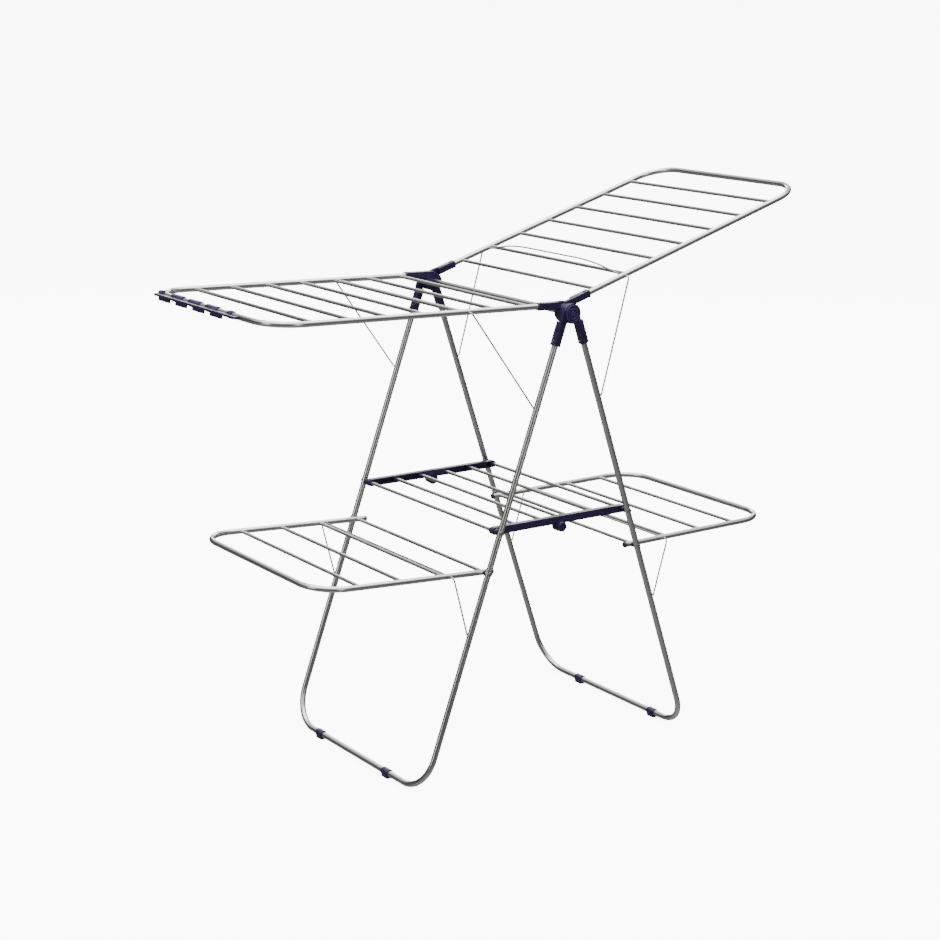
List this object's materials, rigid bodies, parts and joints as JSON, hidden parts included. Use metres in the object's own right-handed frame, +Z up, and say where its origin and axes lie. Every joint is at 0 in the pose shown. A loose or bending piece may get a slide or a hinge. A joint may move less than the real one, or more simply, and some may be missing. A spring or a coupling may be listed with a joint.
{
  "type": "clothes drying rack",
  "caption": "Folding gull-wing clothes airer: two crossed U-shaped steel leg frames, upper and lower rod wings, a folding middle shelf and wire struts.",
  "frame": {"origin": "on the floor, under the middle of the opened rack; the hinge axle is 24.2 mm towards +X from it", "axes": "+Z up, +Y along the hinge axle, +X towards the raised wing"},
  "size_m": [1.4358, 0.575, 1.2764],
  "materials": {
    "stainless_tube": "bright brushed",
    "stainless_rod": "bright brushed",
    "steel_wire": "bright drawn wire",
    "steel_rivet": "satin",
    "indigo_plastic": "fine moulded texture",
    "indigo_cap_plastic": "semi-gloss moulded",
    "dark_plug_plastic": "satin moulded"
  },
  "bodies": {
    "left_legs": {"left_leg_frame": "stainless_tube", "left_leg_hub_near": "indigo_plastic", "left_leg_hub_far": "indigo_plastic", "left_leg_rivets": "steel_rivet", "left_foot_clips": "indigo_plastic", "left_rod_caps": "steel_rivet", "left_lower_pivot_rod": "stainless_rod", "left_lower_spacers": "dark_plug_plastic", "left_shelf_pivot_rod": "stainless_rod", "left_shelf_spacers": "dark_plug_plastic", "hinge_axle": "stainless_tube", "hub_caps": "indigo_cap_plastic"},
    "right_legs": {"right_leg_frame": "stainless_tube", "right_leg_hub_near": "indigo_plastic", "right_leg_hub_far": "indigo_plastic", "right_leg_rivets": "steel_rivet", "right_foot_clips": "indigo_plastic", "right_rod_caps": "steel_rivet", "right_lower_pivot_rod": "stainless_rod", "right_lower_spacers": "dark_plug_plastic"},
    "shelf_left": {"left_shelf_bar_near": "indigo_plastic", "left_shelf_bar_far": "indigo_plastic", "left_shelf_rods": "stainless_rod", "shelf_hinge_pins": "indigo_cap_plastic"},
    "shelf_right": {"right_shelf_bar_near": "indigo_plastic", "right_shelf_bar_far": "indigo_plastic", "right_shelf_rods": "stainless_rod", "right_shelf_pivot_rod": "stainless_rod", "right_shelf_spacers": "dark_plug_plastic"},
    "left_wing": {"left_wing_frame": "stainless_tube", "left_wing_rods": "stainless_rod", "left_wing_hub_near": "indigo_plastic", "left_wing_hub_far": "indigo_plastic", "left_wing_rivets": "steel_rivet", "sock_clip_strip": "indigo_plastic"},
    "left_strut": {"left_wing_strut": "steel_wire"},
    "left_lower_wing": {"left_lower_wing_frame": "stainless_tube", "left_lower_wing_rods": "stainless_rod", "left_lower_end_caps": "dark_plug_plastic"},
    "left_lower_strut": {"left_lower_strut": "steel_wire"},
    "right_wing": {"right_wing_frame": "stainless_tube", "right_wing_rods": "stainless_rod", "right_wing_hub_near": "indigo_plastic", "right_wing_hub_far": "indigo_plastic", "right_wing_rivets": "steel_rivet"},
    "right_strut": {"right_wing_strut": "steel_wire"},
    "right_lower_wing": {"right_lower_wing_frame": "stainless_tube", "right_lower_wing_rods": "stainless_rod", "right_lower_end_caps": "dark_plug_plastic"},
    "right_lower_strut": {"right_lower_strut": "steel_wire"}
  },
  "joints": [
    {"name": "leg_fold", "type": "hinge", "parent": "left_legs", "child": "right_legs", "pos_m": [0.02424, 0, 1.036], "axis": [0, 1, 0], "range_deg": [0, 34.28]},
    {"name": "shelf_left_fold", "type": "hinge", "parent": "left_legs", "child": "shelf_left", "pos_m": [-0.15292, 0, 0.571], "axis": [0, -1, 0], "range_deg": [0, 67.29]},
    {"name": "shelf_middle_fold", "type": "hinge", "parent": "shelf_left", "child": "shelf_right", "pos_m": [0.02424, 0, 0.5565], "axis": [0, 1, 0], "range_deg": [0, 168.65]},
    {"name": "left_wing_fold", "type": "hinge", "parent": "left_legs", "child": "left_wing", "pos_m": [0.02424, 0, 1.036], "axis": [0, -1, 0], "range_deg": [0, 69.26]},
    {"name": "left_strut_swing", "type": "hinge", "parent": "left_wing", "child": "left_strut", "pos_m": [-0.23428, 0, 1.05882], "axis": [0, 1, 0], "range_deg": [0, 128.38]},
    {"name": "left_lower_wing_fold", "type": "hinge", "parent": "left_legs", "child": "left_lower_wing", "pos_m": [-0.18301, 0, 0.4843], "axis": [0, -1, 0], "range_deg": [0, 68.36]},
    {"name": "left_lower_strut_swing", "type": "hinge", "parent": "left_lower_wing", "child": "left_lower_strut", "pos_m": [-0.27386, 0, 0.48954], "axis": [0, 1, 0], "range_deg": [0, 108.83]},
    {"name": "right_wing_fold", "type": "hinge", "parent": "right_legs", "child": "right_wing", "pos_m": [0.02424, 0, 1.036], "axis": [0, 1, 0], "range_deg": [0, 85.36]},
    {"name": "right_strut_swing", "type": "hinge", "parent": "right_wing", "child": "right_strut", "pos_m": [0.1857, 0, 1.10421], "axis": [0, -1, 0], "range_deg": [0, 122.85]},
    {"name": "right_lower_wing_fold", "type": "hinge", "parent": "right_legs", "child": "right_lower_wing", "pos_m": [0.23149, 0, 0.4843], "axis": [0, 1, 0], "range_deg": [0, 65.56]},
    {"name": "right_lower_strut_swing", "type": "hinge", "parent": "right_lower_wing", "child": "right_lower_strut", "pos_m": [0.32248, 0, 0.48509], "axis": [0, -1, 0], "range_deg": [0, 106.53]}
  ],
  "couplings": [
    {"joint": "shelf_left_fold", "follows": "leg_fold", "ratio": 1.957},
    {"joint": "shelf_middle_fold", "follows": "leg_fold", "ratio": 4.914},
    {"joint": "left_strut_swing", "follows": "left_wing_fold", "ratio": 1.8493},
    {"joint": "left_lower_wing_fold", "follows": "left_wing_fold", "ratio": 0.98412},
    {"joint": "left_lower_strut_swing", "follows": "left_wing_fold", "ratio": 1.567},
    {"joint": "right_strut_swing", "follows": "right_wing_fold", "ratio": 1.4357},
    {"joint": "right_lower_wing_fold", "follows": "right_wing_fold", "ratio": 0.7657},
    {"joint": "right_lower_strut_swing", "follows": "right_wing_fold", "ratio": 1.2444}
  ]
}
